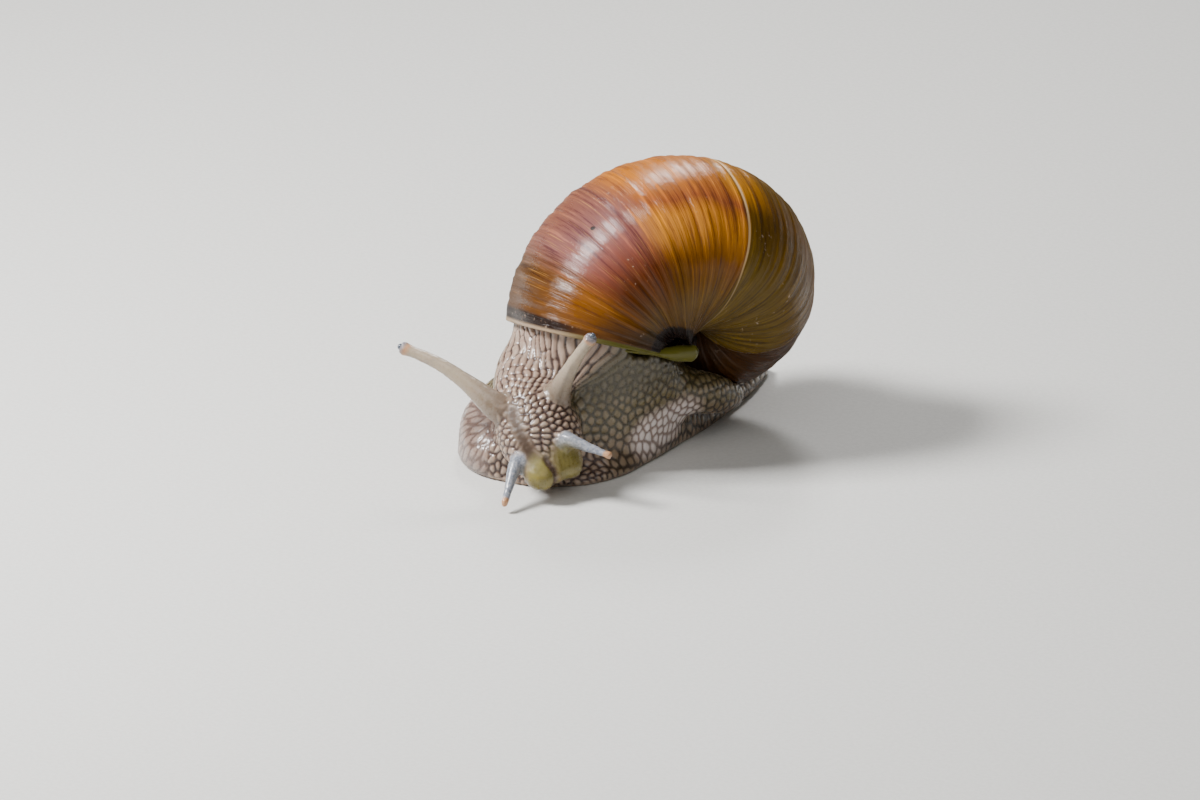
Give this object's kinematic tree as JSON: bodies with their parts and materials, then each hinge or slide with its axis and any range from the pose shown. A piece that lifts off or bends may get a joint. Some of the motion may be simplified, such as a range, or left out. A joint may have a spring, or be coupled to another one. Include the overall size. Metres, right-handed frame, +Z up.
{
  "type": "roman snail",
  "caption": "Still life-size model of a crawling Roman snail: brown coiled shell, wrinkled body, raised feelers, head turned to its left.",
  "frame": {"origin": "middle of the underside of the whole animal's bounding box, on the plane of the sole", "axes": "+Z up, head towards -Y, tail towards +Y, the snail's left towards +X"},
  "size_m": [0.0376, 0.0678, 0.039],
  "materials": {
    "shell": "glossy horn brown with purple-brown spiral bands",
    "skin": "wet grey-brown skin with pale tubercles",
    "eye": "glossy black"
  },
  "bodies": {
    "root": {"shell": "shell", "trunk": "skin", "neck": "skin", "head": "skin", "foot_front": "skin", "foot_middle": "skin", "tail": "skin", "upper_tentacle_left": "skin", "upper_tentacle_right": "skin", "lower_tentacle_left": "skin", "lower_tentacle_right": "skin", "eye_left": "eye", "eye_right": "eye"}
  },
  "joints": []
}
